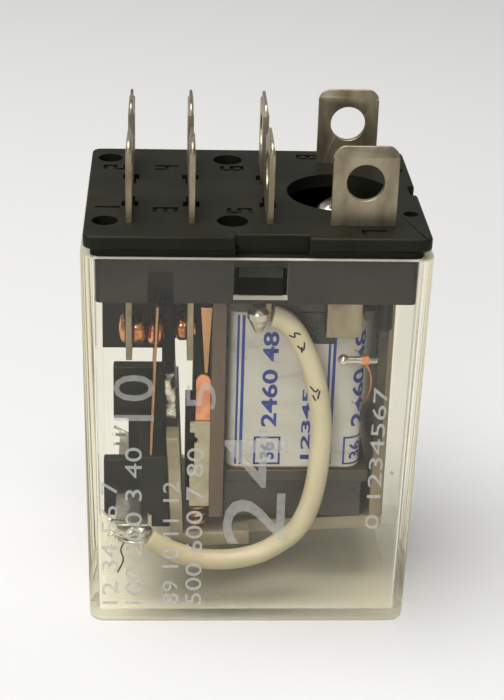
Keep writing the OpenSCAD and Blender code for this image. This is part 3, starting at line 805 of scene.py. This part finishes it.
for name, turn in (("front", 1), ("rear", -1)):
    path = [Vector((x, y * turn, z)) * MM for x, y, z in spline(route, ROUTE_STEPS)]

    def wrinkle(i):
        bend = math.exp(-((path[i].z - 17.5 * MM) / (4.5 * MM)) ** 2)
        return 0.985 + 0.012 * bend * math.sin(path[i].z / (0.075 * MM))

    piece = tube("lead_" + name, path, lead_r, 24, wrinkle)
    piece.data.materials.append(sleeve)
    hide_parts("lead_wire_" + name)
    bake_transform(piece)
lead_length = sum((b - a).length for a, b in zip(path, path[1:]))
print("each lead is", round(lead_length * 1000, 1), "mm long")

# %% [markdown]
# ## Strokes on the sleeve
# The real sleeves carry smudged black strokes. They are hair-thin tubes laid on the front of
# the wire: each point has a distance along the wire and a distance across it.

# %% Sleeve strokes
smudge = finish("smudge", (0.008, 0.007, 0.006), (0.03, 0.026, 0.02), 900, 0.7, shine=0.1)
wire_line = [p * MM for p in spline(route, ROUTE_STEPS)]
reach = [0.0]
for a, b in zip(wire_line, wire_line[1:]):
    reach.append(reach[-1] + (b - a).length)


def on_sleeve(far, aside):
    """A place on the front of the wire, both distances in millimetres."""
    i = min(range(len(reach) - 1), key=lambda k: abs(reach[k] - far * MM))
    along = (wire_line[i + 1] - wire_line[i]).normalized()
    across = along.cross(Vector((0, 1, 0)))
    out = math.sqrt(max(0.0, lead_r ** 2 - (aside * MM) ** 2))
    return wire_line[i] + across * aside * MM + Vector((0, -out, 0))


stroke_r = 0.07 * MM
strokes = []
for far, shape in ((2.0, ((0, -0.4), (0.4, -0.1), (0.1, 0.1), (0.5, 0.4))),
                   (3.2, ((0, -0.3), (0.6, 0.0), (0.1, 0.35))), (3.5, ((0, 0.0), (0.5, -0.2))),
                   (7.3, ((0, -0.5), (0.5, -0.2), (0.3, 0.1))), (7.8, ((0, 0.2), (0.7, -0.1))),
                   (8.1, ((0, -0.45), (0.5, -0.3)))):
    points = spline([on_sleeve(far + u, v) / MM for u, v in shape], 4)
    strokes.append(tube("stroke", [p * MM for p in points], stroke_r, 8))
strokes = join(strokes, "sleeve_strokes")
strokes.data.materials.append(smudge)
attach(strokes, "housing")
print("strokes lie on the front wire")

# %% [markdown]
# ## Solder and loose strands at the springs
# Hand soldering leaves an uneven lump, and some strands of the wire always miss it. The lump
# is an icosphere pushed about by a noise, and the strands are thin tubes fanned by a formula.

# %% Solder and strands
burnt = finish("burnt_strand", (0.05, 0.04, 0.035), (0.02, 0.016, 0.014), 900, 0.4, metal=0.5)
STRANDS = 9
strand_r = 0.13 * MM
stray_r = 0.07 * MM
foot = Vector((-8.6, LEAD_Y, 7.7))
for name, turn in (("front", 1), ("rear", -1)):
    lump_low, lump_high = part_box("spring_solder_" + name)
    centre = (lump_low + lump_high) / 2
    deselect()
    bpy.ops.mesh.primitive_ico_sphere_add(subdivisions=4, radius=1, location=centre,
                                          scale=(1.5 * MM, 1.1 * MM, 0.75 * MM))
    bpy.ops.object.transform_apply(location=True, rotation=True, scale=True)
    lump = bpy.context.object
    lump.name = "solder_lump_" + name
    for v in lump.data.vertices:
        away = v.co - centre
        v.co += away * 0.35 * noise.noise(v.co * 1400)
    bpy.ops.object.shade_smooth()
    lump.data.materials.append(solder)
    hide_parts("spring_solder_" + name)
    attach(lump, "armature")
    strands = []
    for k in range(STRANDS):
        fan = (k - STRANDS // 2) / (STRANDS // 2)
        tip = Vector((-11.6 + 0.5 * math.cos(5 * k), LEAD_Y + 0.5 * math.sin(3 * k),
                      8.5 + 1.1 * fan))
        bow = Vector((0, -0.25 * math.cos(2 * k), 0.35 * math.sin(4 * k)))
        path = [foot + (tip - foot) * t + bow * math.sin(math.pi * t)
                + Vector((0, 0.35 * fan * (1 - t), 0.3 * fan * (1 - t))) for t in
                (0, 0.15, 0.3, 0.45, 0.6, 0.75, 0.9, 1)]
        strands.append(tube("strand", [Vector((p.x, p.y * turn, p.z)) * MM for p in path],
                            strand_r, 8))
    bundle = join(strands, "strands_" + name)
    bundle.data.materials.append(solder)
    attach(bundle, "armature")
    hair = spline([(-10.4, LEAD_Y, 7.6), (-10.9, LEAD_Y - 0.2, 6.6), (-10.7, LEAD_Y - 0.3, 5.6),
                   (-11.2, LEAD_Y - 0.4, 4.4)], 6)
    stray = tube("stray_strand_" + name, [Vector((p.x, p.y * turn, p.z)) * MM for p in hair],
                 stray_r, 8)
    stray.data.materials.append(burnt)
    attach(stray, "armature")
print("solder and strands at both springs")

# %% [markdown]
# ## Solder beads on the winding pins
# A dipped pin carries a round bead at its end. One bead is made and copied to the other pin.

# %% Pin beads
pins_low, pins_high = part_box("coil_pins")
pin_r = (pins_high.z - pins_low.z) / 2
bead_r = 1.55 * pin_r
pin_end = (pins_low.x + pin_r, pins_low.y + pin_r, pins_low.z + pin_r)
deselect()
bpy.ops.mesh.primitive_ico_sphere_add(subdivisions=3, radius=bead_r, location=pin_end)
bpy.ops.object.transform_apply(location=True, rotation=True, scale=True)
bead = bpy.context.object
bead.name = "pin_bead_front"
for v in bead.data.vertices:
    v.co.x += 0.3 * pin_r * noise.noise(v.co * 2500)
bpy.ops.object.shade_smooth()
bead.data.materials.append(solder)
twin = bpy.data.objects.new("pin_bead_rear", bead.data.copy())
bpy.context.scene.collection.objects.link(twin)
for v in twin.data.vertices:
    v.co.y = -v.co.y
twin.data.flip_normals()
for piece in (bead, twin):
    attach(piece, "housing")
print("two beads of radius", round(bead_r * 1000, 2), "mm")

# %% [markdown]
# ## The return spring
# A real wound spring has round wire. It is swept along a helix.

# %% Return spring
spring_low, spring_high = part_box("return_spring")
spring_wire = 0.14 * MM
spring_mid = (spring_low + spring_high) / 2
spring_r = (spring_high.x - spring_low.x) / 2 - spring_wire
STEPS = 32
TURNS = 3
helix = []
for i in range(TURNS * STEPS + 1):
    a = 2 * math.pi * i / STEPS
    rise = spring_wire + (spring_high.z - spring_low.z - 2 * spring_wire) * i / (TURNS * STEPS)
    helix.append(Vector((spring_mid.x + spring_r * math.cos(a),
                         spring_mid.y + spring_r * math.sin(a), spring_low.z + rise)))
spring = tube("return_spring_wire", helix, spring_wire, 12)
spring.data.materials.append(bronze)
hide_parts("return_spring")
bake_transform(spring)
print("return spring:", TURNS, "turns")
